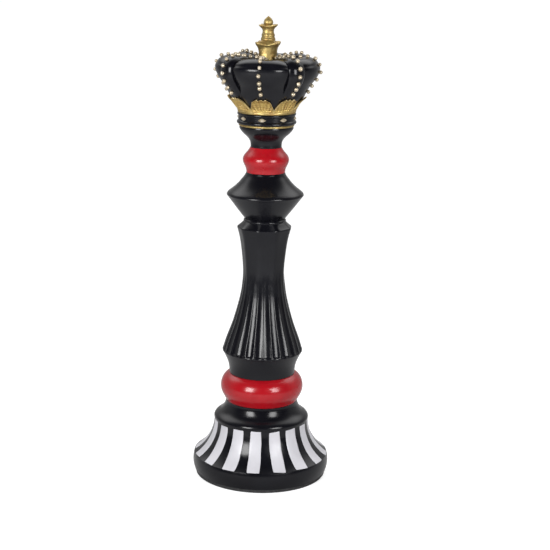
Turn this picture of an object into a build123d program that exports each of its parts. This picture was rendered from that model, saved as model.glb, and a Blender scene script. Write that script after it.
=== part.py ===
from build123d import *
import math
import os

# A decorative chess king, 298 mm tall, standing on its foot at the origin with +Z up.
# Every piece of the stack is turned about Z. Glued spigots on the axis hold the pieces together.
# Azimuth 0 points along -Y, and positive azimuths turn towards +X.

os.makedirs("parts", exist_ok=True)

# Overall size
HEIGHT = 298.0
BASE_R = 44.5

# Heights of the seams between the stacked pieces
PAD_TOP = 2.2
PLINTH_TOP = 13.6
FLARE_TOP = 36.8
BASE_TOP = 50.2
RING_TOP = 68.2
COLLAR_TOP = 82.2
RIM_Z = 83.6
WAIST_Z = 136.0
FACET_TOP = 165.0
COLUMN_TOP = 170.6
SAUCER_RIM_Z = 186.2
SAUCER_TOP = 200.5
UPPER_RING_TOP = 216.4
NECK_TOP = 230.0
LOWER_FILLET_TOP = 231.4
BAND_TOP = 238.4
CROWN_SEAT = 239.8
PETAL_GAP_Z = 241.5
PETAL_TOP = 248.6
CAP_CENTRE_Z = 270.6
DRUM_TOP = 283.4
STEM_TOP = 292.8

# Foot
PAD_R = 42.6
PLINTH_BOTTOM_R = 43.2
PLINTH_TOP_R = 43.7
SHOULDER_R = 31.0
SHOULDER_Z = 38.0
SHOULDER_WAIST_R = 30.6
BASE_TOP_R = 23.3
BALLAST_R = 30.0
BALLAST_THICK = 10.0
GLUE_GAP = 0.1
GLUE_LINE = 0.02

# White bars round the flare
STRIPE_COUNT = 16
STRIPE_ANGLE = 13.3
STRIPE_FIRST = -5.5
STRIPE_THICK = 0.4
STRIPE_LOW = 13.8
STRIPE_HIGH = 36.6

# Red rings: (radius, height) points down their bulging sides
LOWER_RING_SIDE = (
    (23.2, BASE_TOP),
    (25.4, 54.0),
    (26.85, 59.2),
    (25.6, 64.4),
    (21.6, RING_TOP),
)
UPPER_RING_SIDE = (
    (12.3, SAUCER_TOP),
    (13.4, 204.4),
    (14.65, 208.5),
    (12.6, 212.6),
    (9.95, UPPER_RING_TOP),
)

# Column
COLLAR_BOTTOM_R = 21.3
RIM_R = 26.0
COLLAR_TOP_R = 25.3
WAIST_R = 13.6
COLUMN_HEAD_R = 17.9
GROOVE_R = 13.0
FACET_COUNT = 9
FACET_CORNER = -12.0
FACET_FOOT_Z = 129.0
FLUTES_PER_FACET = 3
FLUTE_TOOL_R = 3.86

# Saucer and neck
SAUCER_R = 24.5
SAUCER_TOP_R = 12.3
NECK_BOTTOM_R = 9.9
NECK_TOP_R = 17.1

# Glued spigots, radius and top
BASE_SPIGOT_R = 10.0
BASE_SPIGOT_TOP = 92.0
COLUMN_SPIGOT_R = 7.0
COLUMN_SPIGOT_TOP = 177.0
SAUCER_SPIGOT_R = 6.0
SAUCER_SPIGOT_TOP = 220.0
NECK_SPIGOT_R = 12.0
NECK_SPIGOT_TOP = 246.0
DRUM_SPIGOT_R = 3.0
DRUM_SPIGOT_LENGTH = 6.0
STEM_SPIGOT_R = 2.0
TIP_SPIGOT_R = 1.2
SMALL_SPIGOT_LENGTH = 3.0

# Crown
CROWN_TURN = -8.7
FILLET_R = 17.6
UPPER_FILLET_R = 18.4
BAND_R = 17.9
BAND_LIP_R = 18.8
JEWEL_HALF_WIDTH = 2.4
JEWEL_HALF_HEIGHT = 1.05
JEWEL_DEPTH = 0.8
JEWEL_Z = 235.2
PETAL_COUNT = 8
PETAL_THICK = 1.1
PETAL_ANGLE = 44.6
PETAL_FOOT_R = 18.5
PETAL_TIP_R = 24.5
PETAL_HALF_WIDTH = 7.4
PETAL_MIDDLE_HALF_WIDTH = 6.6
PETAL_TIP_HALF_WIDTH = 4.6
ARCH_COUNT = 4
ARCH_ANGLE = 22.5
BEAD_R = 1.3
BEAD_SINK = 0.45
BEAD_COUNT = 10
BEAD_START = 4.2
BEAD_PITCH = 4.6
BEAD_DRIFT = 0.35

# Finial
DRUM_R = 5.9
DRUM_NECK_Z = 277.5
DRUM_EDGE_Z = 281.2
DRUM_HALF_SIDE = 7.1
STEM_FOOT_R = 4.25
STEM_WAIST_R = 3.5
STEM_WAIST_Z = 288.8
STEM_EDGE_Z = 291.9
STEM_HALF_SIDE = 5.4
CAPITAL_CORNER_R = 1.2
TIP_R = 2.9
TIP_BLUNT_R = 0.3


def at(r, z):
    """A point of a turned outline."""
    return (r, 0, z)


def turned(outer, bore=0.0, angle=360.0):
    """Turns an outline, given from its foot to its head, about Z. bore is the hole on the axis."""
    foot = outer[0] @ 0
    head = outer[-1] @ 1
    inner = Polyline(head, at(bore, head.Z), at(bore, foot.Z), foot)
    face = make_face(Curve() + list(outer) + inner)
    return revolve(face, Axis.Z, angle)


def peg(radius, low, high):
    """A round peg on the axis from height low to height high."""
    return Pos(0, 0, (low + high) / 2) * Cylinder(radius, high - low)


def facing(azimuth):
    """Turns a shape built round the +X direction so that it faces this azimuth."""
    return Rot(0, 0, azimuth - 90)


def bulging_ring(side, bore):
    """A ring turned from the points of its side, flat at its foot and head."""
    return turned([Spline(*[at(r, z) for r, z in side])], bore)


def flare_edge(inset=0.0):
    """The concave flare between plinth and shoulder."""
    middle_z = PLINTH_TOP + 0.37 * (FLARE_TOP - PLINTH_TOP)
    middle_r = SHOULDER_WAIST_R + 0.345 * (PLINTH_TOP_R - SHOULDER_WAIST_R)
    return ThreePointArc(
        at(PLINTH_TOP_R - inset, PLINTH_TOP),
        at(middle_r - inset, middle_z),
        at(SHOULDER_WAIST_R - inset, FLARE_TOP),
    )


def make_base_pad():
    return peg(PAD_R, 0, PAD_TOP)


def make_ballast():
    return peg(BALLAST_R - GLUE_GAP, PAD_TOP, PAD_TOP + BALLAST_THICK)


def make_stripes():
    """White bars let into the flare to the depth of a thick coat."""
    coat = turned([flare_edge()], 5) - turned([flare_edge(STRIPE_THICK)], 5)
    coat = coat & peg(BASE_R, STRIPE_LOW, STRIPE_HIGH)
    half_width = BASE_R * math.tan(math.radians(STRIPE_ANGLE / 2))
    triangle = Polyline((0, 0), (BASE_R, -half_width), (BASE_R, half_width), (0, 0))
    wedge = extrude(make_face(triangle), BASE_TOP)
    pitch = 360 / STRIPE_COUNT
    bars = [coat & (facing(STRIPE_FIRST + pitch * k) * wedge) for k in range(STRIPE_COUNT)]
    return Compound(children=[solid for bar in bars for solid in bar.solids()])


def make_base(stripes):
    plinth = ThreePointArc(at(PLINTH_BOTTOM_R, PAD_TOP), at(BASE_R, 8.5), at(PLINTH_TOP_R, PLINTH_TOP))
    edge = Line(at(SHOULDER_WAIST_R, FLARE_TOP), at(SHOULDER_R, SHOULDER_Z))
    shoulder = Spline(
        at(SHOULDER_R, SHOULDER_Z),
        at(29.8, 40.4),
        at(26.7, 42.8),
        at(24.3, 46.2),
        at(BASE_TOP_R, BASE_TOP),
    )
    foot = turned([plinth, flare_edge(), edge, shoulder])
    foot = foot - peg(BALLAST_R, PAD_TOP, PAD_TOP + BALLAST_THICK)
    foot = foot + peg(BASE_SPIGOT_R, BASE_TOP - 1, BASE_SPIGOT_TOP)
    return foot - stripes


def make_lower_ring():
    return bulging_ring(LOWER_RING_SIDE, BASE_SPIGOT_R + GLUE_GAP)


def make_collar():
    foot = at(COLLAR_BOTTOM_R, RING_TOP)
    side = ThreePointArc(foot, at(22.3, 75.6), at(COLLAR_TOP_R, COLLAR_TOP))
    return turned([side], BASE_SPIGOT_R + GLUE_GAP)


def column_side():
    """The column's outline: a long hollow curve from the rim to the waist and out to the head."""
    return Spline(
        at(RIM_R, RIM_Z),
        at(24.0, 90),
        at(20.2, 100),
        at(16.2, 114),
        at(WAIST_R, WAIST_Z),
        at(14.8, 150),
        at(COLUMN_HEAD_R, FACET_TOP),
    )


def flute_cutter():
    """A round cutter that scoops out the rim's edge and runs out of the column at the waist."""
    path = Spline(
        at(28.1, 86.0),
        at(26.8, 90.0),
        at(23.4, 100),
        at(19.5, 114),
        at(17.6, 127),
        at(17.6, 134),
    )
    start = Plane(origin=path @ 0, z_dir=path % 0)
    return sweep(start * Circle(FLUTE_TOOL_R), path) + Pos(path @ 0) * Sphere(FLUTE_TOOL_R)


def facet_cutter():
    """What a flat facet takes off the column: everything outside a shallow curve."""
    flat = math.cos(math.radians(180 / FACET_COUNT))
    curve = Spline(
        at(WAIST_R + 0.2, FACET_FOOT_Z),
        at(WAIST_R - 0.25, 138),
        at(14.8 * flat, 150),
        at(COLUMN_HEAD_R * flat, FACET_TOP),
    )
    outside = Polyline(
        curve @ 1,
        at(COLUMN_HEAD_R * flat, COLUMN_TOP),
        at(BASE_R, COLUMN_TOP),
        at(BASE_R, FACET_FOOT_Z),
        curve @ 0,
    )
    return extrude(make_face(curve + outside), COLUMN_HEAD_R, both=True)


def make_column():
    """The column, with nine flats above and three flutes under each of them."""
    foot = Line(at(COLLAR_TOP_R, COLLAR_TOP), at(RIM_R, RIM_Z))
    head = Line(at(COLUMN_HEAD_R, FACET_TOP), at(GROOVE_R, COLUMN_TOP))
    column = turned([foot, column_side(), head])
    flute = flute_cutter()
    facet = facet_cutter()
    facet_pitch = 360 / FACET_COUNT
    flute_pitch = facet_pitch / FLUTES_PER_FACET
    for k in range(FACET_COUNT):
        column = column - facing(FACET_CORNER + facet_pitch * (k + 0.5)) * facet
    for k in range(FACET_COUNT * FLUTES_PER_FACET):
        column = column - facing(FACET_CORNER + flute_pitch * (k + 0.5)) * flute
    column = column + peg(COLUMN_SPIGOT_R, COLUMN_TOP - 1, COLUMN_SPIGOT_TOP)
    return column - peg(BASE_SPIGOT_R + GLUE_GAP, COLLAR_TOP, BASE_SPIGOT_TOP + 1)


def make_saucer():
    under = Line(at(GROOVE_R, COLUMN_TOP), at(SAUCER_R - 0.1, SAUCER_RIM_Z - 0.5))
    rim = ThreePointArc(
        at(SAUCER_R - 0.1, SAUCER_RIM_Z - 0.5),
        at(SAUCER_R, SAUCER_RIM_Z),
        at(SAUCER_R - 0.6, SAUCER_RIM_Z + 1),
    )
    top = ThreePointArc(
        at(SAUCER_R - 0.6, SAUCER_RIM_Z + 1),
        at(16.6, 193.6),
        at(SAUCER_TOP_R, SAUCER_TOP),
    )
    saucer = turned([under, rim, top])
    saucer = saucer + peg(SAUCER_SPIGOT_R, SAUCER_TOP - 1, SAUCER_SPIGOT_TOP)
    return saucer - peg(COLUMN_SPIGOT_R + GLUE_GAP, COLUMN_TOP, COLUMN_SPIGOT_TOP + 1)


def make_upper_ring():
    return bulging_ring(UPPER_RING_SIDE, SAUCER_SPIGOT_R + GLUE_GAP)


def make_neck():
    side = Spline(
        at(NECK_BOTTOM_R, UPPER_RING_TOP),
        at(NECK_BOTTOM_R, 218.6),
        at(12.1, 223),
        at(15.4, 226.2),
        at(NECK_TOP_R, NECK_TOP),
    )
    neck = turned([side]) + peg(NECK_SPIGOT_R, NECK_TOP - 1, NECK_SPIGOT_TOP)
    return neck - peg(SAUCER_SPIGOT_R + GLUE_GAP, UPPER_RING_TOP, SAUCER_SPIGOT_TOP + 1)


def make_fillet(radius, low, high):
    """A thin gold ring with a rounded rim, threaded on the neck's spigot."""
    side = ThreePointArc(at(radius - 0.4, low), at(radius, (low + high) / 2), at(radius - 0.4, high))
    return turned([side], NECK_SPIGOT_R + GLUE_GAP)


def make_band():
    low_lip = ThreePointArc(at(FILLET_R, LOWER_FILLET_TOP), at(BAND_LIP_R, 232.4), at(BAND_R, 233.5))
    wall = Line(at(BAND_R, 233.5), at(BAND_R, 236.9))
    top_lip = ThreePointArc(at(BAND_R, 236.9), at(BAND_LIP_R - 0.2, 237.7), at(BAND_R, BAND_TOP))
    return turned([low_lip, wall, top_lip], NECK_SPIGOT_R + GLUE_GAP)


def make_jewel(azimuth):
    """A pointed-oval stone whose back fits the band's round wall."""
    stone = scale(Sphere(1), (JEWEL_DEPTH, JEWEL_HALF_WIDTH, JEWEL_HALF_HEIGHT))
    stone = Pos(BAND_R + 0.05, 0, JEWEL_Z) * stone
    return facing(azimuth) * (stone - peg(BAND_R, BAND_TOP - 8, BAND_TOP))


def petal_inside():
    """The leaning line that the petals' backs and the foot of the cap share."""
    inside_r = PETAL_FOOT_R - PETAL_THICK
    return Polyline(
        at(inside_r, CROWN_SEAT),
        at(inside_r + 0.5, PETAL_GAP_Z),
        at(PETAL_TIP_R - PETAL_THICK, PETAL_TOP),
    )


def make_petal(azimuth):
    """A coronet leaf: a piece of a leaning shell, narrower at its tip."""
    outside = Polyline(
        at(PETAL_FOOT_R - PETAL_THICK, CROWN_SEAT),
        at(PETAL_FOOT_R, CROWN_SEAT),
        at(PETAL_FOOT_R + 0.5, PETAL_GAP_Z),
        at(PETAL_TIP_R, PETAL_TOP),
        at(PETAL_TIP_R - PETAL_THICK, PETAL_TOP),
    )
    shell = revolve(make_face(petal_inside() + outside), Axis.Z, PETAL_ANGLE)
    shell = Rot(0, 0, -PETAL_ANGLE / 2) * shell
    corner_z = PETAL_TOP - 0.6
    side = Polyline((0, CROWN_SEAT), (PETAL_HALF_WIDTH, CROWN_SEAT), (PETAL_HALF_WIDTH, PETAL_GAP_Z))
    side = side + Spline(
        (PETAL_HALF_WIDTH, PETAL_GAP_Z),
        (PETAL_MIDDLE_HALF_WIDTH, PETAL_TOP - 3.4),
        (PETAL_TIP_HALF_WIDTH, corner_z),
    )
    side = side + Polyline((PETAL_TIP_HALF_WIDTH, corner_z), (0, PETAL_TOP), (0, CROWN_SEAT))
    half = extrude(Plane.YZ * make_face(side), 2 * PETAL_TIP_R)
    return facing(azimuth) * (shell & (half + mirror(half, Plane.XZ)))


def lobe_edge():
    """The puffed cap's outline down the middle of a lobe."""
    return Spline(
        at(PETAL_TIP_R - PETAL_THICK, PETAL_TOP),
        at(27.0, 255.5),
        at(30.6, 260.7),
        at(32.2, 265.8),
        at(30.4, 270.4),
        at(24.4, 272.9),
        at(15.0, 272.0),
        at(DRUM_R + 0.3, CAP_CENTRE_Z),
    )


def arch_edge():
    """The outer line of a raised arch, from the coronet up and over to the finial."""
    return Spline(
        at(PETAL_TIP_R - PETAL_THICK, PETAL_TOP),
        at(27.4, 253.3),
        at(31.0, 257.8),
        at(33.4, 264.6),
        at(31.6, 270.8),
        at(25.5, 273.9),
        at(16.0, 273.2),
        at(DRUM_R + 0.6, CAP_CENTRE_Z + 0.8),
    )


def arch_seat():
    """The bottom of the groove in the cap that an arch lies in."""
    return Spline(
        at(PETAL_TIP_R - PETAL_THICK - 1.4, PETAL_TOP),
        at(28.9, 261.0),
        at(30.1, 265.4),
        at(28.2, 269.2),
        at(22.6, 271.2),
        at(14.0, 270.4),
        at(DRUM_R + 0.6, CAP_CENTRE_Z - 1.4),
    )


def make_arch(azimuth):
    outer = arch_edge()
    seat = arch_seat()
    foot = Line(seat @ 0, outer @ 0)
    head = Line(outer @ 1, seat @ 1)
    band = revolve(make_face(outer + seat + foot + head), Axis.Z, ARCH_ANGLE)
    return facing(azimuth) * Rot(0, 0, -ARCH_ANGLE / 2) * band


def make_cap(arches):
    crown_flat = Line(at(DRUM_R + 0.3, CAP_CENTRE_Z), at(0, CAP_CENTRE_Z))
    side = petal_inside() + lobe_edge() + crown_flat
    foot = Line(at(0, CROWN_SEAT), petal_inside() @ 0)
    cap = revolve(make_face(side + foot + Line(at(0, CAP_CENTRE_Z), at(0, CROWN_SEAT))), Axis.Z)
    cap = cap - peg(NECK_SPIGOT_R + GLUE_GAP, CROWN_SEAT, NECK_SPIGOT_TOP + 1)
    cap = cap - peg(DRUM_SPIGOT_R + GLUE_GAP, CAP_CENTRE_Z - DRUM_SPIGOT_LENGTH - 1, CAP_CENTRE_Z)
    for arch in arches:
        cap = cap - arch
    return cap


def bead_row(edge):
    """Flat-backed beads set along an outline, a little uneven like hand-placed ones."""
    back = Plane.XY.offset(BEAD_SINK - BEAD_R)
    dome = split(Sphere(BEAD_R), bisect_by=back, keep=Keep.TOP)
    lift = BEAD_R - BEAD_SINK + GLUE_LINE
    beads = []
    for k in range(BEAD_COUNT):
        reach = BEAD_START + BEAD_PITCH * k + BEAD_DRIFT * math.sin(2.3 * k)
        foot = edge.position_at(reach, position_mode=PositionMode.LENGTH)
        along = edge.tangent_at(reach, position_mode=PositionMode.LENGTH)
        outwards = Vector(along.Z, 0, -along.X)
        beads.append(Plane(origin=foot + outwards * lift, z_dir=outwards) * dome)
    return Compound(children=beads)


def square(half_side, z):
    return Pos(0, 0, z) * RectangleRounded(2 * half_side, 2 * half_side, CAPITAL_CORNER_R)


def capital(neck_r, neck_z, half_side, edge_z, roof_r, roof_z):
    """A square flared capital with a sloping roof, its corners over the arches."""
    flare = loft([Pos(0, 0, neck_z) * Circle(neck_r), square(half_side, edge_z)])
    roof = loft([square(half_side, edge_z), Pos(0, 0, roof_z) * Circle(roof_r)])
    return facing(CROWN_TURN) * (flare + roof)


def make_drum():
    drum = peg(DRUM_R, CAP_CENTRE_Z, DRUM_NECK_Z)
    drum = drum + capital(DRUM_R, DRUM_NECK_Z, DRUM_HALF_SIDE, DRUM_EDGE_Z, STEM_FOOT_R, DRUM_TOP)
    drum = drum + peg(DRUM_SPIGOT_R, CAP_CENTRE_Z - DRUM_SPIGOT_LENGTH, CAP_CENTRE_Z + 1)
    return drum - peg(STEM_SPIGOT_R + GLUE_GAP, DRUM_TOP - SMALL_SPIGOT_LENGTH - 0.5, DRUM_TOP)


def make_stem():
    roof_r = TIP_R - 0.3
    side = Spline(
        at(STEM_FOOT_R - 0.2, DRUM_TOP),
        at(STEM_FOOT_R, 285),
        at(STEM_WAIST_R, STEM_WAIST_Z),
    )
    stem = turned([side])
    stem = stem + capital(STEM_WAIST_R, STEM_WAIST_Z, STEM_HALF_SIDE, STEM_EDGE_Z, roof_r, STEM_TOP)
    stem = stem + peg(STEM_SPIGOT_R, DRUM_TOP - SMALL_SPIGOT_LENGTH, DRUM_TOP + 1)
    return stem - peg(TIP_SPIGOT_R + GLUE_GAP, STEM_TOP - SMALL_SPIGOT_LENGTH - 0.5, STEM_TOP)


def make_tip():
    side = Spline(at(TIP_R - 0.3, STEM_TOP), at(TIP_R, 294.2), at(1.7, 296.7), at(TIP_BLUNT_R, HEIGHT))
    return turned([side]) + peg(TIP_SPIGOT_R, STEM_TOP - SMALL_SPIGOT_LENGTH, STEM_TOP + 1)


def save(shape, name):
    export_step(shape, "parts/" + name + ".step")


stripes = make_stripes()
save(make_base_pad(), "base_pad")
save(make_ballast(), "ballast_weight")
save(stripes, "base_stripes")
save(make_base(stripes), "base")
save(make_lower_ring(), "lower_ring")
save(make_collar(), "column_collar")
save(make_column(), "fluted_column")
save(make_saucer(), "saucer")
save(make_upper_ring(), "upper_ring")
save(make_neck(), "neck")
save(make_fillet(FILLET_R, NECK_TOP, LOWER_FILLET_TOP), "crown_lower_fillet")
save(make_band(), "crown_band")
save(make_fillet(UPPER_FILLET_R, BAND_TOP, CROWN_SEAT), "crown_upper_fillet")

for k in range(PETAL_COUNT):
    azimuth = CROWN_TURN + 360 / PETAL_COUNT * k
    save(make_jewel(azimuth), f"band_jewel_{k + 1}")
    save(make_petal(azimuth), f"crown_petal_{k + 1}")

arch_azimuths = [CROWN_TURN + 360 / ARCH_COUNT * (k + 0.5) for k in range(ARCH_COUNT)]
arches = [make_arch(azimuth) for azimuth in arch_azimuths]
for k, arch in enumerate(arches):
    save(arch, f"crown_arch_{k + 1}")
save(make_cap(arches), "crown_cap")

lobe_row = bead_row(lobe_edge())
arch_row = bead_row(arch_edge())
for k in range(ARCH_COUNT):
    save(facing(CROWN_TURN + 360 / ARCH_COUNT * k) * lobe_row, f"bead_row_{2 * k + 1}")
    save(facing(arch_azimuths[k]) * arch_row, f"bead_row_{2 * k + 2}")

save(make_drum(), "finial_drum")
save(make_stem(), "finial_stem")
save(make_tip(), "finial_tip")
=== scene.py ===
import math
import random

import bpy
import bmesh
import numpy as np
from mathutils import Matrix, Vector


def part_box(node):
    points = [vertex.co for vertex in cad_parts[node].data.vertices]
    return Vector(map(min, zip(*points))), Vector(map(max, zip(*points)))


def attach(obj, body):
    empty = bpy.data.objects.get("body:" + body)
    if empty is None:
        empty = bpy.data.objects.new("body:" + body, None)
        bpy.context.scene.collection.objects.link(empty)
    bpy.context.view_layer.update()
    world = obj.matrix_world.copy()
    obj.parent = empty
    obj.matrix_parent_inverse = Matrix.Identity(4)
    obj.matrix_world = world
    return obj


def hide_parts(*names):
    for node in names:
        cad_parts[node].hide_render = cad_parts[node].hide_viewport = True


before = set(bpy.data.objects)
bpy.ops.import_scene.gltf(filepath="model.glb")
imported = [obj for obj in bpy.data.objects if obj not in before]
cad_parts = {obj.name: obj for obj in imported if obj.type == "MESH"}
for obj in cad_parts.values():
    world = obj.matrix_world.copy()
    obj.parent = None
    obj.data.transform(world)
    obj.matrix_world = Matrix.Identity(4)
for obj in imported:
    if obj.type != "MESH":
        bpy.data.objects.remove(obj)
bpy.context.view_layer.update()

# The king's looks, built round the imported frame. Lengths in this script are millimetres, and
# MM turns them into Blender's metres. Azimuths are degrees: 0 faces -Y and 90 faces +X.
MM = 0.001
TURN = 2 * math.pi
AROUND = 256
SHARP_ANGLE = math.radians(38)
RANGE_SOCKETS = ("From Min", "From Max", "To Min", "To Max")


def low(node):
    """The height of a node's lowest point."""
    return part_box(node)[0].z / MM


def high(node):
    """The height of a node's highest point."""
    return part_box(node)[1].z / MM


def reach(node):
    """The largest radius of a round node that is centred on the axis."""
    return max(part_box(node)[1].x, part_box(node)[1].y) / MM


# Seams of the stack, each at the foot of the piece above it
PAD_TOP = high("base_pad")
BASE_TOP = low("lower_ring")
RING_TOP = low("column_collar")
COLLAR_TOP = low("fluted_column")
COLUMN_TOP = low("saucer")
SAUCER_TOP = low("upper_ring")
UPPER_RING_TOP = low("neck")
NECK_TOP = low("crown_lower_fillet")
BAND_FOOT = low("crown_band")
BAND_TOP = low("crown_upper_fillet")
CROWN_SEAT = low("crown_cap")
PETAL_TIP = high("crown_petal_1")
CREST = high("crown_cap")
DRUM_SPIGOT = 6.0
DRUM_SEAT = low("finial_drum") + DRUM_SPIGOT
DRUM_TOP = high("finial_drum")
STEM_TOP = high("finial_stem")
TIP_TOP = high("finial_tip")
STRIPE_LOW = low("base_stripes")
STRIPE_HIGH = high("base_stripes")

# Repeats
STRIPES = 16
FIRST_STRIPE = -5.5
FLUTES = 27
FACETS = 9
FACET_CORNER = -12.0
CROWN_TURN = -8.7
PETALS = 8
ARCHES = 4
ARCH_HALF_ANGLE = 11.25


# ---------------------------------------------------------------- curves and meshes


def spline(points, count=24):
    """A smooth curve through the points, as (count, 2) numbers. It is a natural cubic over chord length."""
    p = np.array(points, float)
    t = np.concatenate([[0], np.cumsum(np.linalg.norm(np.diff(p, axis=0), axis=1))])
    h = np.diff(t)
    n = len(p)
    a = np.eye(n)
    b = np.zeros((n, 2))
    for i in range(1, n - 1):
        a[i, i - 1 : i + 2] = h[i - 1], 2 * (h[i - 1] + h[i]), h[i]
        b[i] = 6 * ((p[i + 1] - p[i]) / h[i] - (p[i] - p[i - 1]) / h[i - 1])
    m = np.linalg.solve(a, b)
    s = np.linspace(0, t[-1], count)
    k = np.clip(np.searchsorted(t, s, side="right") - 1, 0, n - 2)
    u = ((s - t[k]) / h[k])[:, None]
    hk = h[k][:, None] ** 2 / 6
    return (1 - u) * p[k] + u * p[k + 1] + hk * (((1 - u) ** 3 - (1 - u)) * m[k] + (u**3 - u) * m[k + 1])


def arc(start, middle, end, count=12):
    """The circular arc through three points."""
    (ax, ay), (bx, by), (cx, cy) = start, middle, end
    d = 2 * (ax * (by - cy) + bx * (cy - ay) + cx * (ay - by))
    a2, b2, c2 = ax * ax + ay * ay, bx * bx + by * by, cx * cx + cy * cy
    ox = (a2 * (by - cy) + b2 * (cy - ay) + c2 * (ay - by)) / d
    oy = (a2 * (cx - bx) + b2 * (ax - cx) + c2 * (bx - ax)) / d
    radius = math.hypot(ax - ox, ay - oy)
    first, mid, last = (math.atan2(y - oy, x - ox) for x, y in (start, middle, end))
    sweep = (last - first) % TURN
    if (mid - first) % TURN > sweep:
        sweep -= TURN
    angles = first + np.linspace(0, sweep, count)
    return np.stack([ox + radius * np.cos(angles), oy + radius * np.sin(angles)], axis=1)


def joined(*pieces):
    """One outline from several, without the doubled points where they meet."""
    rows = np.concatenate([np.array(piece, float).reshape(-1, 2) for piece in pieces])
    keep = np.concatenate([[True], np.linalg.norm(np.diff(rows, axis=0), axis=1) > 0.01])
    return rows[keep]


def place(name, verts, faces, node, material):
    """A mesh piece from millimetre points, riding on the object in place of a CAD node."""
    mesh = bpy.data.meshes.new(name)
    mesh.from_pydata([tuple(v) for v in np.asarray(verts) * MM], [], [tuple(f) for f in faces])
    bm = bmesh.new()
    bm.from_mesh(mesh)
    bmesh.ops.recalc_face_normals(bm, faces=bm.faces)
    for face in bm.faces:
        face.smooth = True
    for edge in bm.edges:
        if len(edge.link_faces) == 2 and edge.calc_face_angle(0) > SHARP_ANGLE:
            edge.smooth = False
    bm.to_mesh(mesh)
    bm.free()
    mesh.materials.append(material)
    piece = bpy.data.objects.new(name, mesh)
    bpy.context.scene.collection.objects.link(piece)
    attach(piece, "root")
    if node:
        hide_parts(node)
    return piece


def grid_faces(rows, columns, closed):
    """Quads over a grid of points stored row by row. closed joins the last column to the first."""
    faces = []
    for i in range(rows - 1):
        for j in range(columns if closed else columns - 1):
            k = (j + 1) % columns
            faces.append((i * columns + j, i * columns + k, (i + 1) * columns + k, (i + 1) * columns + j))
    return faces


def lathe(name, outline, material, shape=None, around=AROUND, node=None):
    """Turns an outline of (radius, height) about the axis. shape(azimuths, radii, heights) may return
    new radii and heights, for flutes, facets, lobes and square corners."""
    azimuth = np.linspace(0, 360, around, endpoint=False)
    radius = np.repeat(outline[:, :1], around, axis=1)
    height = np.repeat(outline[:, 1:], around, axis=1)
    if shape:
        radius, height = shape(azimuth[None, :], radius, height)
    a = np.radians(azimuth)[None, :]
    verts = np.stack([radius * np.sin(a), -radius * np.cos(a), height], axis=2).reshape(-1, 3)
    rows = len(outline)
    faces = grid_faces(rows, around, True)
    faces.append(tuple(range(around)))
    faces.append(tuple(range((rows - 1) * around, rows * around)))
    return place(name, verts, faces, node or name, material)


def closed_patch(front, back):
    """The points and faces of a thin closed piece between two grids of points of the same size."""
    rows, columns = front.shape[:2]
    verts = np.concatenate([front.reshape(-1, 3), back.reshape(-1, 3)])
    count = rows * columns
    faces = grid_faces(rows, columns, False)
    faces += [tuple(count + i for i in reversed(face)) for face in grid_faces(rows, columns, False)]
    rim = list(range(columns))
    rim += [i * columns + columns - 1 for i in range(1, rows)]
    rim += [(rows - 1) * columns + j for j in range(columns - 2, -1, -1)]
    rim += [i * columns for i in range(rows - 2, 0, -1)]
    for k, i in enumerate(rim):
        j = rim[(k + 1) % len(rim)]
        faces.append((i, j, count + j, count + i))
    return verts, faces


def round_point(azimuth, radius, height):
    """A point at an azimuth in degrees, for numbers or arrays."""
    a = np.radians(azimuth)
    return np.stack(np.broadcast_arrays(radius * np.sin(a), -radius * np.cos(a), height), axis=-1)


def smooth(value, start, end):
    """0 before start, 1 after end, and a soft step between."""
    t = np.clip((value - start) / (end - start), 0, 1)
    return t * t * (3 - 2 * t)


def hand_cast(amount, seed):
    """A shape function: the slow unevenness of a hand-finished casting."""
    rng = random.Random(seed)
    waves = [(rng.randint(2, 7), rng.uniform(0, TURN), rng.uniform(0.05, 0.25)) for _ in range(5)]

    def shape(azimuth, radius, height):
        offset = sum(np.sin(n * np.radians(azimuth) + p + f * height) for n, p, f in waves)
        return radius + amount * offset / len(waves), height

    return shape


# ---------------------------------------------------------------- materials


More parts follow.
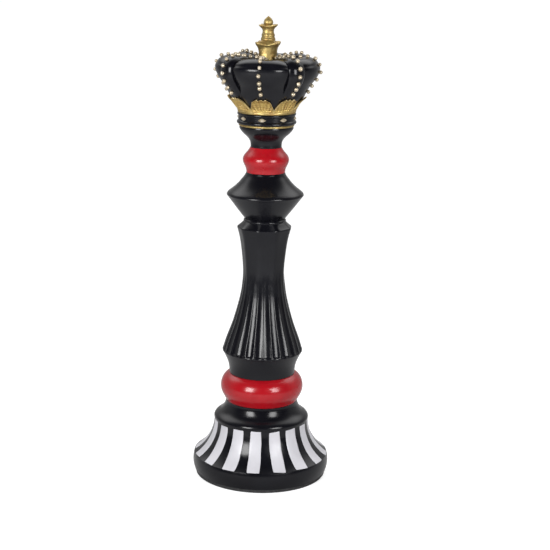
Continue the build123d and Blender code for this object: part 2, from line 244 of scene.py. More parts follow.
class Paint:
    """A node material under construction, over object coordinates."""

    def __init__(self, name, colour, rough, metal=0.0, coat=0.0, coat_rough=0.1, specular=0.5):
        self.material = bpy.data.materials.new(name)
        self.material.use_nodes = True
        self.nodes = self.material.node_tree.nodes
        self.links = self.material.node_tree.links
        self.shader = self.nodes["Principled BSDF"]
        self.shader.inputs["Metallic"].default_value = metal
        self.shader.inputs["Specular IOR Level"].default_value = specular
        self.shader.inputs["Coat Weight"].default_value = coat
        self.shader.inputs["Coat Roughness"].default_value = coat_rough
        self.coords = self.nodes.new("ShaderNodeTexCoord").outputs["Object"]
        self.colour = self.flat(colour)
        self.rough = self.value(rough)
        self.height = None

    def flat(self, colour):
        node = self.nodes.new("ShaderNodeRGB")
        node.outputs[0].default_value = (*colour, 1)
        return node.outputs[0]

    def value(self, number):
        node = self.nodes.new("ShaderNodeValue")
        node.outputs[0].default_value = number
        return node.outputs[0]

    def noise(self, scale, detail=4.0, stretch=(1, 1, 1), distortion=0.0, rough=0.55):
        mapping = self.nodes.new("ShaderNodeMapping")
        mapping.inputs["Scale"].default_value = stretch
        self.links.new(self.coords, mapping.inputs["Vector"])
        node = self.nodes.new("ShaderNodeTexNoise")
        node.inputs["Scale"].default_value = scale
        node.inputs["Detail"].default_value = detail
        node.inputs["Roughness"].default_value = rough
        node.inputs["Distortion"].default_value = distortion
        self.links.new(mapping.outputs["Vector"], node.inputs["Vector"])
        return node.outputs["Fac"]

    def cells(self, scale):
        node = self.nodes.new("ShaderNodeTexVoronoi")
        node.inputs["Scale"].default_value = scale
        self.links.new(self.coords, node.inputs["Vector"])
        return node.outputs["Distance"]

    def hollows(self):
        """0 in hollows, 1 on worn edges."""
        return self.nodes.new("ShaderNodeNewGeometry").outputs["Pointiness"]

    def remap(self, source, low_in, high_in, low_out=0.0, high_out=1.0):
        node = self.nodes.new("ShaderNodeMapRange")
        for key, number in zip(RANGE_SOCKETS, (low_in, high_in, low_out, high_out)):
            node.inputs[key].default_value = number
        self.links.new(source, node.inputs["Value"])
        return node.outputs["Result"]

    def math(self, how, a, b):
        node = self.nodes.new("ShaderNodeMath")
        node.operation = how
        for socket, value in zip(node.inputs, (a, b)):
            if isinstance(value, (int, float)):
                socket.default_value = value
            else:
                self.links.new(value, socket)
        return node.outputs[0]

    def tint(self, colour, factor):
        """Mixes another colour in where factor is high."""
        node = self.nodes.new("ShaderNodeMix")
        node.data_type = "RGBA"
        self.links.new(factor, node.inputs[0])
        self.links.new(self.colour, node.inputs[6])
        node.inputs[7].default_value = (*colour, 1)
        self.colour = node.outputs[2]

    def roughen(self, source, low_in, high_in, change):
        """Adds up to change to the roughness where source is high."""
        self.rough = self.math("ADD", self.rough, self.remap(source, low_in, high_in, 0.0, change))

    def relief(self, source, amount):
        """Adds source to the bump height. amount is in millimetres."""
        part = self.math("MULTIPLY", source, amount * MM)
        self.height = part if self.height is None else self.math("ADD", self.height, part)

    def done(self):
        self.links.new(self.colour, self.shader.inputs["Base Color"])
        self.links.new(self.rough, self.shader.inputs["Roughness"])
        if self.height is not None:
            bump = self.nodes.new("ShaderNodeBump")
            bump.inputs["Distance"].default_value = 1.0
            self.links.new(self.height, bump.inputs["Height"])
            self.links.new(bump.outputs["Normal"], self.shader.inputs["Normal"])
        return self.material


def black_paint():
    """Satin-gloss black over resin: slightly cool, with faint brush drag, dust and thin edges."""
    p = Paint("black_paint", (0.0030, 0.0030, 0.0045), 0.15, specular=0.26)
    p.tint((0.0062, 0.0065, 0.0088), p.remap(p.noise(38, 5), 0.42, 0.75, 0.0, 0.8))
    p.tint((0.035, 0.035, 0.037), p.remap(p.hollows(), 0.56, 0.68, 0.0, 0.3))
    p.roughen(p.noise(55, 4), 0.35, 0.7, 0.09)
    p.roughen(p.noise(420, 2, stretch=(1, 1, 0.15)), 0.5, 0.8, 0.05)
    p.relief(p.noise(160, 2), 0.035)
    p.relief(p.noise(900, 2), 0.008)
    return p.done()


def red_paint():
    """Deep gloss red with a clear coat and a little orange peel."""
    p = Paint("red_paint", (0.30, 0.0045, 0.009), 0.18, coat=0.08, coat_rough=0.05, specular=0.36)
    p.tint((0.23, 0.003, 0.007), p.remap(p.noise(60, 4), 0.45, 0.75, 0.0, 0.7))
    p.tint((0.36, 0.02, 0.02), p.remap(p.hollows(), 0.55, 0.66, 0.0, 0.25))
    p.roughen(p.noise(90, 3), 0.4, 0.75, 0.12)
    p.relief(p.noise(210, 2), 0.05)
    return p.done()


def white_paint():
    """Hand-painted satin white: brush drag along the bar and thin spots that let the black through."""
    p = Paint("white_paint", (0.47, 0.465, 0.495), 0.36, coat=0.15, coat_rough=0.2)
    p.tint((0.41, 0.405, 0.43), p.remap(p.noise(120, 5, stretch=(1, 1, 0.3)), 0.45, 0.75, 0.0, 0.8))
    p.tint((0.34, 0.34, 0.37), p.remap(p.noise(600, 3), 0.66, 0.8, 0.0, 0.6))
    p.roughen(p.noise(200, 3), 0.4, 0.7, 0.15)
    p.relief(p.noise(500, 3, stretch=(1, 1, 0.2)), 0.04)
    return p.done()


def gold_paint(name="gold_paint", light=(0.54, 0.39, 0.13), dark=(0.07, 0.032, 0.010), rough=0.34):
    """Antique gold: metallic paint with brown patina in the hollows and bright rubbed edges."""
    p = Paint(name, light, rough, metal=0.85)
    p.tint((0.30, 0.175, 0.055), p.remap(p.noise(260, 4), 0.4, 0.7, 0.0, 0.85))
    p.tint(dark, p.remap(p.hollows(), 0.49, 0.40, 0.0, 0.85))
    p.tint((0.95, 0.80, 0.48), p.remap(p.hollows(), 0.53, 0.62, 0.0, 0.7))
    p.roughen(p.noise(340, 4), 0.35, 0.7, 0.22)
    p.relief(p.noise(520, 3), 0.10)
    p.relief(p.cells(700), 0.05)
    return p.done()


def pearl_paint():
    """Pale gold pearl paint of the beads and the band's stones, with darker gold patches at random."""
    p = Paint("pearl_paint", (0.48, 0.41, 0.30), 0.24, metal=0.55, coat=0.15, coat_rough=0.1)
    p.tint((0.22, 0.155, 0.07), p.remap(p.noise(420, 3), 0.45, 0.7, 0.0, 0.7))
    p.tint((0.62, 0.57, 0.47), p.remap(p.noise(300, 2), 0.55, 0.7, 0.0, 0.5))
    p.roughen(p.noise(500, 3), 0.4, 0.7, 0.15)
    p.relief(p.noise(700, 2), 0.03)
    return p.done()


def foam():
    """Matt black foam of the foot pad."""
    p = Paint("foam", (0.016, 0.016, 0.017), 0.85)
    p.tint((0.035, 0.035, 0.036), p.remap(p.noise(700, 5), 0.45, 0.7))
    p.roughen(p.noise(300, 3), 0.4, 0.7, 0.1)
    p.relief(p.cells(1200), 0.15)
    return p.done()


def iron():
    """Rough cast iron of the weight inside the foot."""
    p = Paint("iron", (0.12, 0.115, 0.11), 0.62, metal=0.8)
    p.tint((0.16, 0.07, 0.035), p.remap(p.noise(90, 6), 0.5, 0.75, 0.0, 0.6))
    p.roughen(p.noise(220, 4), 0.4, 0.7, 0.2)
    p.relief(p.noise(420, 5), 0.25)
    return p.done()


BLACK = black_paint()
RED = red_paint()
WHITE = white_paint()
GOLD = gold_paint()
# A darker copy of the same gold paint, used on the finial and the gold lines: painted shade, so that they
# come out less bright under the softboxes.
SHADED_GOLD = gold_paint("shaded_gold", light=(0.38, 0.29, 0.11), rough=0.38)
PEARL = pearl_paint()


# ---------------------------------------------------------------- foot


def make_pad():
    pad_r = reach("base_pad")
    edge = 0.5
    outline = joined(
        [(pad_r - edge, 0)],
        arc((pad_r - edge, 0), (pad_r - 0.15, 0.15), (pad_r, edge), 5),
        arc((pad_r, PAD_TOP - edge), (pad_r - 0.15, PAD_TOP - 0.15), (pad_r - edge, PAD_TOP), 5),
    )
    lathe("base_pad_foam", outline, foam(), node="base_pad")


FOOT_R = reach("base")
PLINTH_TOP = PAD_TOP + 11.4
PLINTH_TOP_R = FOOT_R - 0.8
FLARE_TOP = PAD_TOP + 34.8
FLARE_TOP_R = 30.6


def flare(count=48):
    """The concave flare from the plinth up to the shoulder."""
    middle_r = FLARE_TOP_R + 0.345 * (PLINTH_TOP_R - FLARE_TOP_R)
    middle_z = PLINTH_TOP + 0.37 * (FLARE_TOP - PLINTH_TOP)
    return arc((PLINTH_TOP_R, PLINTH_TOP), (middle_r, middle_z), (FLARE_TOP_R, FLARE_TOP), count)


def make_base():
    outline = joined(
        arc((42.6, PAD_TOP), (43.1, PAD_TOP + 0.2), (43.4, PAD_TOP + 0.9), 5),
        arc((43.4, PAD_TOP + 0.9), (FOOT_R, PAD_TOP + 6.3), (PLINTH_TOP_R, PLINTH_TOP), 18),
        flare(),
        spline(
            [
                (FLARE_TOP_R, FLARE_TOP),
                (30.9, 37.8),
                (30.95, 38.7),
                (30.0, 40.3),
                (27.0, 42.4),
                (24.6, 45.5),
                (23.5, 48.4),
                (23.3, 49.8),
            ],
            40,
        ),
        [(22.9, BASE_TOP)],
    )
    lathe("base_casting", outline, BLACK, hand_cast(0.07, 1), node="base")


def make_stripes():
    """Sixteen painted bars that follow the flare, each with its own slightly uneven edges."""
    rng = random.Random(11)
    line = flare(120)
    heights = line[:, 1]
    rows, columns = 40, 13
    bar_verts, bar_faces = [], []
    for k in range(STRIPES):
        centre = FIRST_STRIPE + 360 / STRIPES * k + rng.uniform(-0.5, 0.5)
        bottom = STRIPE_LOW - 0.1 + rng.uniform(-0.3, 0.3)
        top = STRIPE_HIGH + 0.1 + rng.uniform(-0.25, 0.25)
        slant = rng.uniform(-0.35, 0.35)
        wobble = [(rng.uniform(-0.18, 0.18), rng.uniform(0, TURN)) for _ in range(4)]
        v = np.linspace(0, 1, rows)[:, None]
        u = np.linspace(-1, 1, columns)[None, :]
        z = bottom + v * (top - bottom) + slant * u * (2 * v - 1)
        z = np.clip(z, heights[0], heights[-1])
        r = np.interp(z, heights, line[:, 0])
        width = 4.4 - 0.75 * v + rng.uniform(-0.3, 0.3)
        for side, (low_wave, high_wave) in ((-1, wobble[:2]), (1, wobble[2:])):
            wave = low_wave[0] * np.sin(5 * v + low_wave[1])
            wave = wave + high_wave[0] * 0.6 * np.sin(13 * v + high_wave[1])
            width = width + np.where(u * side > 0, wave, 0)
        corner = 1 - 0.06 * (np.abs(2 * v - 1) ** 24)
        azimuth = centre + np.degrees(u * width * corner / r)
        coat = np.full_like(r, 0.14)
        coat[0, :] = coat[-1, :] = coat[:, 0] = coat[:, -1] = 0.02
        front = round_point(azimuth, r + coat, z + coat * 0.5)
        back = round_point(azimuth, r - 0.25, z - 0.1)
        verts, faces = closed_patch(front, back)
        start = sum(len(part) for part in bar_verts)
        bar_verts.append(verts)
        bar_faces += [tuple(start + i for i in face) for face in faces]
    place("base_painted_bars", np.concatenate(bar_verts), bar_faces, "base_stripes", WHITE)


# ---------------------------------------------------------------- turned pieces


LOWER_RING = [(23.3, 0), (24.6, 2.4), (26.2, 5.6), (26.85, 9.1), (26.1, 13.1), (24.1, 16.2), (21.6, 18.0)]
UPPER_RING = [
    (12.3, 0),
    (12.5, 1.7),
    (13.3, 3.9),
    (14.3, 6.1),
    (14.65, 8.1),
    (14.1, 10.1),
    (12.6, 12.1),
    (11.0, 14.1),
    (9.95, 15.9),
]


def make_ring(node, foot, side, seed):
    """A bulging red ring, from the (radius, height over its foot) points of its side."""
    outline = spline([(radius, foot + height) for radius, height in side], 56)
    lathe(node + "_gloss", outline, RED, hand_cast(0.06, seed), node=node)


def make_collar():
    top_r = reach("column_collar")
    outline = joined(
        [(20.9, RING_TOP)],
        spline([(21.3, RING_TOP + 0.3), (21.5, 71.6), (22.4, 75.8), (23.8, 79.2), (top_r, COLLAR_TOP)], 30),
    )
    lathe("column_collar_turned", outline, BLACK, hand_cast(0.05, 3), node="column_collar")


COLLAR_TOP_R = 25.3
RIM_Z = COLLAR_TOP + 1.4
FACET_TOP = COLUMN_TOP - 5.6
HEAD_R = 18.05


def column_line():
    """The column's outline over the ridges: rim, waist, head and the small lip under the saucer."""
    rim_r = reach("fluted_column")
    side = [
        (rim_r - 0.35, RIM_Z + 1.1),
        (24.2, 89.5),
        (20.4, 100),
        (16.6, 113),
        (14.3, 124),
        (13.75, 136),
        (14.9, 149),
        (16.5, 159),
        (HEAD_R - 0.05, FACET_TOP - 0.5),
    ]
    head_edge = [
        (HEAD_R - 0.05, FACET_TOP - 0.5),
        (HEAD_R - 0.1, FACET_TOP + 0.15),
        (HEAD_R - 0.6, FACET_TOP + 0.6),
    ]
    return joined(
        arc((COLLAR_TOP_R, COLLAR_TOP), (rim_r - 0.25, RIM_Z - 0.75), (rim_r - 0.02, RIM_Z - 0.2), 4),
        arc((rim_r - 0.02, RIM_Z - 0.2), (rim_r, RIM_Z + 0.3), (rim_r - 0.35, RIM_Z + 1.1), 6),
        spline(side, 130),
        arc(head_edge[0], head_edge[1], head_edge[2], 7),
        spline([head_edge[2], (15.2, 167.3), (13.4, 168.8)], 12),
        arc((13.4, 169.0), (13.6, 169.5), (13.3, 170.1), 5),
        [(12.9, COLUMN_TOP)],
    )


FLUTE_FOOT = RIM_Z - 0.4
FLUTE_FADE = 138.0
FLUTE_R = 5.4
LAND = 0.22
FACET_START = 125.0
FACET_FULL = 138.0
CORNER_CAP = 0.975
CORNER_SHARPNESS = 110


def fluted(azimuth, radius, height):
    """Shallow round flutes below the waist, scooped out at the rim, and nine flats above it."""
    pitch = 360 / FLUTES
    across = (azimuth - FACET_CORNER) % pitch - pitch / 2
    from_centre = np.abs(np.radians(across)) * radius
    full = np.radians(pitch / 2) * radius - LAND
    scoop = np.clip((height - FLUTE_FOOT) / 2.6, 0, 1)
    scoop = np.sqrt(1 - (1 - scoop) ** 2)
    half = np.maximum(full * scoop, 0.01)
    fade = 1 - smooth(height, FLUTE_FADE - 8, FLUTE_FADE)
    inner = np.sqrt(np.clip(FLUTE_R**2 - from_centre**2, 0.01, None))
    depth = np.clip(inner - np.sqrt(FLUTE_R**2 - half**2), 0, 3) * fade * (from_centre < half)
    face = 360 / FACETS
    off = np.radians((azimuth - FACET_CORNER) % face - face / 2)
    flat = math.cos(math.pi / FACETS) / np.cos(off)
    flat = (flat**-CORNER_SHARPNESS + CORNER_CAP**-CORNER_SHARPNESS) ** (-1 / CORNER_SHARPNESS)
    head = smooth(height, FACET_TOP + 0.4, FACET_TOP + 4.4)
    share = smooth(height, FACET_START, FACET_FULL) * (1 - head)
    return (radius - depth) * (1 + share * (flat - 1)), height


def make_column():
    line = column_line()
    around = 20 * FLUTES
    lathe("fluted_column_cast", line, BLACK, fluted, around, node="fluted_column")


def make_saucer():
    rim_r = reach("saucer")
    rim_z = COLUMN_TOP + 15.5
    top = [(23.1, rim_z + 2.1), (20.4, 190.3), (16.8, 193.8), (14.3, 196.9), (12.5, 199.8), (12.35, 200.3)]
    outline = joined(
        [(12.7, COLUMN_TOP)],
        spline([(13.0, COLUMN_TOP + 0.3), (18.2, 177.6), (rim_r - 0.35, rim_z - 0.55)], 20),
        arc((rim_r - 0.35, rim_z - 0.55), (rim_r, rim_z), (rim_r - 0.1, rim_z + 0.6), 5),
        arc((rim_r - 0.1, rim_z + 0.6), (rim_r - 0.5, rim_z + 1.3), (rim_r - 1.3, rim_z + 2.0), 5),
        spline(top, 30),
        [(12.1, SAUCER_TOP)],
    )
    lathe("saucer_turned", outline, BLACK, hand_cast(0.05, 5), node="saucer")


def make_neck():
    neck_r = reach("neck")
    side = [(9.85, 216.7), (9.85, 218.4), (10.5, 220.8), (12.9, 223.7), (15.6, 226.3), (16.9, 228.1)]
    outline = joined(
        [(9.7, UPPER_RING_TOP)],
        spline(side, 34),
        arc((16.9, 228.1), (neck_r, 228.9), (neck_r - 0.1, NECK_TOP), 6),
    )
    lathe("neck_turned", outline, BLACK, hand_cast(0.04, 6), node="neck")


# ---------------------------------------------------------------- crown


def make_fillet(node, foot, head):
    """A thin painted gold line with a rounded rim."""
    radius = reach(node)
    rim = arc((radius - 0.45, foot), (radius, (foot + head) / 2), (radius - 0.45, head), 9)
    outline = joined([(radius - 1.0, foot)], rim, [(radius - 1.0, head)])
    lathe(node + "_gold", outline, SHADED_GOLD, hand_cast(0.06, 7), node=node)


BAND_WALL_R = 17.9


def make_band():
    lip_r = reach("crown_band")
    outline = joined(
        [(17.0, BAND_FOOT)],
        arc((17.5, BAND_FOOT), (lip_r, BAND_FOOT + 1.0), (18.1, BAND_FOOT + 2.1), 12),
        [(BAND_WALL_R, BAND_FOOT + 2.3)],
        [(BAND_WALL_R, BAND_TOP - 1.6)],
        arc((18.0, BAND_TOP - 1.5), (lip_r - 0.25, BAND_TOP - 0.7), (17.9, BAND_TOP), 10),
    )
    lathe("crown_band_turned", outline, BLACK, hand_cast(0.05, 8), node="crown_band")


def make_jewel(index):
    """A pointed-oval stone with a soft ridge along its middle."""
    node = f"band_jewel_{index + 1}"
    azimuth = CROWN_TURN + 360 / PETALS * index
    middle_z = (low(node) + high(node)) / 2
    half_height = (high(node) - low(node)) / 2 + 0.1
    half_width = 2.55
    u = np.linspace(-1, 1, 21)[:, None]
    v = np.linspace(-1, 1, 13)[None, :]
    narrow = 1 - np.abs(u) ** 1.8 * 0.94
    dome = 0.85 * (1 - np.abs(v)) ** 0.6 * narrow**0.6 + 0.05
    x = u * half_width + 0 * v
    across = azimuth + np.degrees(x / BAND_WALL_R)
    z = middle_z + v * half_height * narrow
    front = round_point(across, BAND_WALL_R + dome, z)
    back = round_point(across, BAND_WALL_R - 0.3 + 0 * dome, z)
    verts, faces = closed_patch(front, back)
    place(node + "_stone", verts, faces, node, PEARL)


PETAL_GAP = CROWN_SEAT + 1.7
PETAL_FOOT_R = 18.5
PETAL_TIP_R = 24.5


def petal_face(height):
    """Radius of the petals' leaning outer face."""
    lower = PETAL_FOOT_R + 0.5 * (height - CROWN_SEAT) / (PETAL_GAP - CROWN_SEAT)
    climb = (height - PETAL_GAP) / (PETAL_TIP - PETAL_GAP)
    upper = PETAL_FOOT_R + 0.5 + (PETAL_TIP_R - PETAL_FOOT_R - 0.5) * climb
    return np.where(height < PETAL_GAP, lower, upper)


def make_petal(index):
    """A coronet leaf with a raised pale rim, fanned veins and a scalloped tip."""
    node = f"crown_petal_{index + 1}"
    rng = random.Random(40 + index)
    azimuth = CROWN_TURN + 360 / PETALS * index
    rows, columns = 34, 41
    u = np.linspace(-1, 1, columns)[None, :]
    s = np.linspace(0, 1, rows)[:, None]
    phase = rng.uniform(-0.3, 0.3)
    tip = PETAL_TIP - 0.25 + 0.42 * np.cos(u * 3 * math.pi + phase) - 0.9 * np.abs(u) ** 5
    z = CROWN_SEAT - 0.2 + s * (tip - CROWN_SEAT + 0.2)
    rise = np.clip((z - PETAL_GAP) / (PETAL_TIP - PETAL_GAP), 0, 1.1)
    width = 7.32 - 1.9 * rise - 1.25 * rise**6
    radius = petal_face(z)
    side = np.degrees(np.arcsin(np.clip(u * width / radius, -1, 1)))
    to_rim = np.minimum((1 - np.abs(u)) * width, (tip - z) * 1.15)
    rim = np.exp(-(((to_rim - 0.45) / 0.42) ** 2)) * 0.60 * smooth(z, PETAL_GAP - 0.8, PETAL_GAP + 0.6)
    fan = np.arctan2(u * width, z - CROWN_SEAT + 5.0)
    field = smooth(to_rim, 0.7, 1.4)
    veins = 0.34 * np.cos(fan * 26 + phase) * field * smooth(z, PETAL_GAP - 1.2, PETAL_GAP + 0.4)
    scales = 0.10 * np.sin(z * 4.2 + np.abs(u) * 3 + phase) * field
    bowl = -0.75 * (1 - u**2) * smooth(s, 0.15, 0.6)
    relief = rim + veins + scales + bowl
    curl = 0.55 * smooth(s, 0.7, 1.0) ** 2
    front = round_point(azimuth + side, radius + relief + curl, z)
    back = round_point(azimuth + side, radius - 1.05 + curl, z + 0.05)
    verts, faces = closed_patch(front, back)
    place(node + "_leaf", verts, faces, node, GOLD)


def lobe_line(count=110):
    """The cap's outline down the middle of a lobe, with the soft fold under its shoulder."""
    inside = PETAL_FOOT_R - 1.1
    return joined(
        [(inside - 0.2, CROWN_SEAT), (inside + 0.4, PETAL_GAP), (PETAL_TIP_R - 1.4, PETAL_TIP - 0.3)],
        spline(
            [
                (PETAL_TIP_R - 1.2, PETAL_TIP),
                (26.8, 255.3),
                (30.6, 260.4),
                (32.7, 265.4),
                (32.6, 268.0),
                (31.7, 269.3),
                (31.2, 270.4),
                (29.6, 271.9),
                (27.2, CREST - 0.1),
                (23.6, CREST + 0.2),
                (15.0, 272.0),
                (8.0, DRUM_SEAT + 0.2),
                (4.0, DRUM_SEAT),
            ],
            count,
        ),
    )


LOBE_HALF = 45 - ARCH_HALF_ANGLE


def lobed(azimuth, radius, height):
    """Puffs the cap out into four lobes with creases beside the arches."""
    side = np.abs((azimuth - CROWN_TURN + 45) % 90 - 45)
    crease = np.clip(side / LOBE_HALF, 0, 1.15) ** 3.2
    puff = smooth(height, PETAL_TIP - 3, PETAL_TIP + 9) * smooth(radius, 6, 20)
    out = radius - 1.7 * crease * puff
    drop = 1.1 * crease * smooth(height, 266, CREST) * smooth(radius, 7, 16)
    return out, height - drop


def make_cap():
    lathe("crown_cap_cushion", lobe_line(), BLACK, lobed, around=432, node="crown_cap")


def arch_line(count=90):
    """The outer line of an arch, from behind the coronet up and over to the finial."""
    return spline(
        [
            (PETAL_TIP_R - 1.6, PETAL_TIP - 0.8),
            (27.4, 253.3),
            (31.0, 257.8),
            (33.3, 263.6),
            (32.6, 269.0),
            (29.6, 272.6),
            (24.0, 274.1),
            (16.0, 273.2),
            (6.3, DRUM_SEAT + 1.1),
        ],
        count,
    )


def make_arch(index):
    """A raised rounded strap over the cap: a soft-edged section carried along the arch's line."""
    node = f"crown_arch_{index + 1}"
    azimuth = CROWN_TURN + 360 / ARCHES * (index + 0.5)
    line = arch_line()
    along = np.gradient(line, axis=0)
    along /= np.linalg.norm(along, axis=1)[:, None]
    outward = np.stack([along[:, 1], -along[:, 0]], axis=1)
    u = np.linspace(-1, 1, 25)[None, :]
    half = np.radians(ARCH_HALF_ANGLE) * line[:, :1]
    sag = 1.9 * np.abs(u) ** 2.6 * smooth(half, 0.8, 4.0)
    top = line[:, None, :] - outward[:, None, :] * sag[:, :, None]
    under = line[:, None, :] - outward[:, None, :] * (0 * sag + 3.6)[:, :, None]
    sideways = np.degrees(u * half * (1 - 0.03 * np.abs(u)) / line[:, :1])
    front = round_point(azimuth + sideways, top[:, :, 0], top[:, :, 1])
    back = round_point(azimuth + sideways * 0.97, under[:, :, 0], under[:, :, 1])
    verts, faces = closed_patch(front, back)
    place(node + "_strap", verts, faces, node, BLACK)


BEAD_R = 1.28
BEADS = 11


def make_beads(node, line, azimuth, seed):
    """Small pearls along a line over the crown, uneven in size and spacing like hand-laid ones."""
    rng = random.Random(seed)
    steps = np.concatenate([[0], np.cumsum(np.linalg.norm(np.diff(line, axis=0), axis=1))])
    ball = bmesh.new()
    bmesh.ops.create_icosphere(ball, subdivisions=4, radius=1.0)
    unit = np.array([v.co for v in ball.verts])
    ball_faces = [tuple(v.index for v in f.verts) for f in ball.faces]
    ball.free()
    start = np.interp(PETAL_TIP + 3.9, line[: len(line) // 3, 1], steps[: len(line) // 3])
    end = steps[-1] - 2.6
    verts, faces = [], []
    for k in range(BEADS):
        distance = start + (end - start) * k / (BEADS - 1) + rng.uniform(-0.45, 0.45)
        spot = [np.interp(distance, steps, line[:, i]) for i in (0, 1)]
        ahead = [np.interp(distance + 0.3, steps, line[:, i]) for i in (0, 1)]
        slope = np.array(ahead) - spot
        slope /= max(np.linalg.norm(slope), 1e-6)
        size = BEAD_R * rng.uniform(0.88, 1.10)
        lift = size * rng.uniform(0.55, 0.75)
        r = spot[0] + slope[1] * lift
        z = spot[1] - slope[0] * lift
        centre = round_point(azimuth + math.degrees(rng.uniform(-0.3, 0.3) / max(r, 8)), r, z)
        squash = np.array([rng.uniform(0.93, 1.05) for _ in range(3)])
        base = len(verts) * len(unit)
        verts.append(unit * size * squash + centre)
        faces += [tuple(base + i for i in face) for face in ball_faces]
    place(node + "_pearls", np.concatenate(verts), faces, node, PEARL)


# ---------------------------------------------------------------- finial


def squared(rows, count=40):
    """An outline through (height, side radius, corner radius, corner lift) rows, and its shape function."""
    rows = np.array(rows, float)
    line = spline(rows[:, [1, 0]], count)
    steps = np.concatenate([[0], np.cumsum(np.linalg.norm(np.diff(rows[:, [1, 0]], axis=0), axis=1))])
    where = np.linspace(0, steps[-1], count)
    grow = np.interp(where, steps, rows[:, 2] - rows[:, 1])[:, None]
    lift = np.interp(where, steps, rows[:, 3])[:, None]

    def shape(azimuth, radius, height):
        corner = (0.5 + 0.5 * np.cos(4 * np.radians(azimuth - CROWN_TURN - 45))) ** 1.7
        return radius + grow * corner, height + lift * corner

    return line, shape


def make_drum():
    line, shape = squared(
        [
            (DRUM_SEAT - 0.6, 5.9, 5.9, 0),
            (DRUM_SEAT + 1.2, 5.75, 5.85, 0),
            (DRUM_SEAT + 4.5, 5.6, 6.1, 0),
            (DRUM_SEAT + 7.4, 5.75, 7.0, 0),
            (DRUM_SEAT + 9.0, 6.1, 8.5, 0.5),
            (DRUM_SEAT + 9.8, 6.5, 9.4, 1.3),
            (DRUM_SEAT + 10.3, 6.3, 9.1, 1.5),
            (DRUM_SEAT + 11.0, 5.4, 7.0, 0.8),
            (DRUM_TOP - 0.7, 4.6, 4.9, 0.1),
            (DRUM_TOP, 4.1, 4.1, 0),
        ],
        64,
    )
    lathe("finial_drum_gold", line, SHADED_GOLD, shape, around=160, node="finial_drum")


def make_stem():
    line, shape = squared(
        [
            (DRUM_TOP - 0.4, 4.3, 4.3, 0),
            (DRUM_TOP + 0.4, 4.55, 4.55, 0),
            (DRUM_TOP + 1.1, 4.3, 4.3, 0),
            (DRUM_TOP + 2.1, 4.0, 4.0, 0),
            (DRUM_TOP + 2.9, 4.15, 4.15, 0),
            (DRUM_TOP + 4.0, 3.75, 3.8, 0),
            (DRUM_TOP + 5.6, 3.5, 3.7, 0),
            (DRUM_TOP + 7.3, 3.9, 5.2, 0.1),
            (DRUM_TOP + 8.3, 4.6, 6.8, 0.4),
            (DRUM_TOP + 8.8, 4.6, 7.0, 0.6),
            (STEM_TOP - 0.3, 3.4, 4.6, 0.3),
            (STEM_TOP + 0.1, 2.3, 2.3, 0),
        ],
        72,
    )
    lathe("finial_stem_gold", line, SHADED_GOLD, shape, around=160, node="finial_stem")


def make_tip():
    side = [
        (2.5, STEM_TOP - 0.2),
        (3.0, STEM_TOP + 0.8),
        (2.95, STEM_TOP + 1.8),
        (2.1, STEM_TOP + 3.4),
        (1.05, TIP_TOP - 0.8),
        (0.15, TIP_TOP),
    ]
    uneven = hand_cast(0.06, 21)
    lathe("finial_tip_gold", spline(side, 30), SHADED_GOLD, uneven, around=96, node="finial_tip")


# ---------------------------------------------------------------- build

make_pad()
make_base()
make_stripes()
make_ring("lower_ring", BASE_TOP, LOWER_RING, 2)
make_collar()
make_column()
make_saucer()
make_ring("upper_ring", SAUCER_TOP, UPPER_RING, 4)
make_neck()
make_fillet("crown_lower_fillet", NECK_TOP, BAND_FOOT)
make_band()
make_fillet("crown_upper_fillet", BAND_TOP, CROWN_SEAT)
for petal in range(PETALS):
    make_jewel(petal)
    make_petal(petal)
make_cap()
for arch in range(ARCHES):
    make_arch(arch)
    make_beads(f"bead_row_{2 * arch + 1}", lobe_line()[2:], CROWN_TURN + 90 * arch, 60 + arch)
    make_beads(f"bead_row_{2 * arch + 2}", arch_line(), CROWN_TURN + 45 + 90 * arch, 70 + arch)
make_drum()
make_stem()
make_tip()

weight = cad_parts["ballast_weight"]
weight.data.materials.clear()
weight.data.materials.append(iron())


# ---------------------------------------------------------------- stage, light and camera
# This section is in metres, as Blender is.


FRONT_LIGHT = 0.03
WALL_LIGHT = 0.55
CEILING_LIGHT = 2.6
FLOOR_GLOW = 0.62


def make_floor():
    """A pale paper floor. Its glow is seen by the camera only, so it does not light the object."""
    bpy.ops.mesh.primitive_circle_add(vertices=96, radius=30, fill_type="NGON", location=(0, 0, 0))
    floor = bpy.context.object
    floor.name = "floor"
    p = Paint("floor_paper", (0.55, 0.55, 0.55), 0.9, specular=0.1)
    p.tint((0.54, 0.54, 0.545), p.remap(p.noise(3, 2), 0.4, 0.6))
    p.shader.inputs["Emission Color"].default_value = (1, 1, 1, 1)
    seen = p.nodes.new("ShaderNodeLightPath").outputs["Is Camera Ray"]
    p.links.new(p.math("MULTIPLY", seen, FLOOR_GLOW), p.shader.inputs["Emission Strength"])
    floor.data.materials.append(p.done())


SOFTBOX_DISTANCE = 0.70
SOFTBOX_HEIGHT = 0.37
SOFTBOX_WIDTH = 0.26
SOFTBOX_TALL = 0.36
SOFTBOX_TARGET = 0.15


def softbox(name, azimuth, power):
    """A rectangular light that faces the middle of the object."""
    light = bpy.data.lights.new(name, "AREA")
    light.shape = "RECTANGLE"
    light.size = SOFTBOX_WIDTH
    light.size_y = SOFTBOX_TALL
    light.energy = power
    lamp = bpy.data.objects.new(name, light)
    lamp.location = round_point(azimuth, SOFTBOX_DISTANCE, SOFTBOX_HEIGHT)
    aim = Vector((0, 0, SOFTBOX_TARGET)) - lamp.location
    lamp.rotation_euler = aim.to_track_quat("-Z", "Y").to_euler()
    bpy.context.scene.collection.objects.link(lamp)


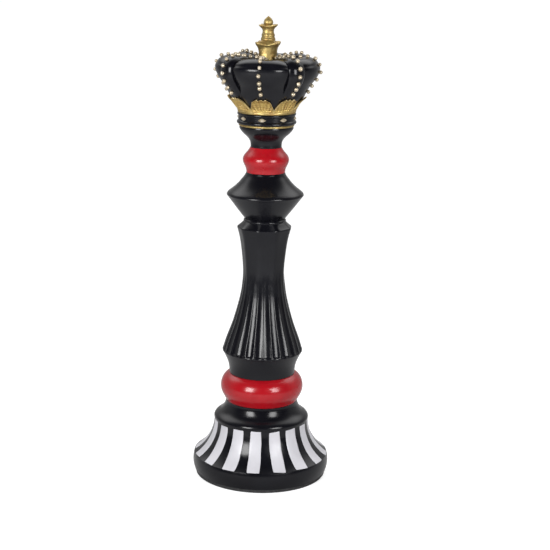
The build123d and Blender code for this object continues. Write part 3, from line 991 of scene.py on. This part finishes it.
def make_world():
    """A light tent that is open and dark to the front, lit from its side walls and its high back wall."""
    world = bpy.data.worlds.new("studio")
    bpy.context.scene.world = world
    world.use_nodes = True
    nodes, links = world.node_tree.nodes, world.node_tree.links
    nodes.clear()
    coords = nodes.new("ShaderNodeTexCoord")
    split = nodes.new("ShaderNodeSeparateXYZ")
    links.new(coords.outputs["Generated"], split.inputs[0])

    def ramp(axis, start, end, strength):
        node = nodes.new("ShaderNodeMapRange")
        node.interpolation_type = "SMOOTHSTEP"
        for key, number in zip(RANGE_SOCKETS, (start, end, 0.0, strength)):
            node.inputs[key].default_value = number
        links.new(split.outputs[axis], node.inputs["Value"])
        return node.outputs["Result"]

    def combine(how, a, b):
        node = nodes.new("ShaderNodeMath")
        node.operation = how
        links.new(a, node.inputs[0])
        links.new(b, node.inputs[1])
        return node.outputs[0]

    walls = ramp("Y", -0.30, 0.25, WALL_LIGHT)
    ceiling = combine("MULTIPLY", ramp("Y", 0.05, 0.45, 1.0), ramp("Z", 0.35, 0.7, CEILING_LIGHT))
    dim = nodes.new("ShaderNodeValue")
    dim.outputs[0].default_value = FRONT_LIGHT
    around = nodes.new("ShaderNodeBackground")
    links.new(combine("ADD", combine("ADD", walls, ceiling), dim.outputs[0]), around.inputs["Strength"])
    seen = nodes.new("ShaderNodeBackground")
    seen.inputs["Strength"].default_value = 1.0
    path = nodes.new("ShaderNodeLightPath")
    mix = nodes.new("ShaderNodeMixShader")
    links.new(path.outputs["Is Camera Ray"], mix.inputs[0])
    links.new(around.outputs[0], mix.inputs[1])
    links.new(seen.outputs[0], mix.inputs[2])
    out = nodes.new("ShaderNodeOutputWorld")
    links.new(mix.outputs[0], out.inputs["Surface"])


CAMERA_PLACE = (0.00725, -0.9080, 0.3519)
CAMERA_PITCH = 13.54
CAMERA_ROLL = 1.17
LENS = 94.74


def make_camera():
    """The viewpoint: a little above the crown, looking down, rolled a degree."""
    data = bpy.data.cameras.new("camera")
    data.sensor_width = 36.0
    data.lens = LENS
    data.clip_start = 0.05
    data.clip_end = 100
    camera = bpy.data.objects.new("camera", data)
    pitch = Matrix.Rotation(math.radians(90 - CAMERA_PITCH), 4, "X")
    roll = Matrix.Rotation(math.radians(CAMERA_ROLL), 4, "Z")
    camera.matrix_world = Matrix.Translation(CAMERA_PLACE) @ pitch @ roll
    bpy.context.scene.collection.objects.link(camera)
    bpy.context.scene.camera = camera


make_floor()
make_world()
softbox("softbox_left", -34, 5.6)
softbox("softbox_right", 38, 4.2)
make_camera()
bpy.context.scene.view_settings.view_transform = "Standard"
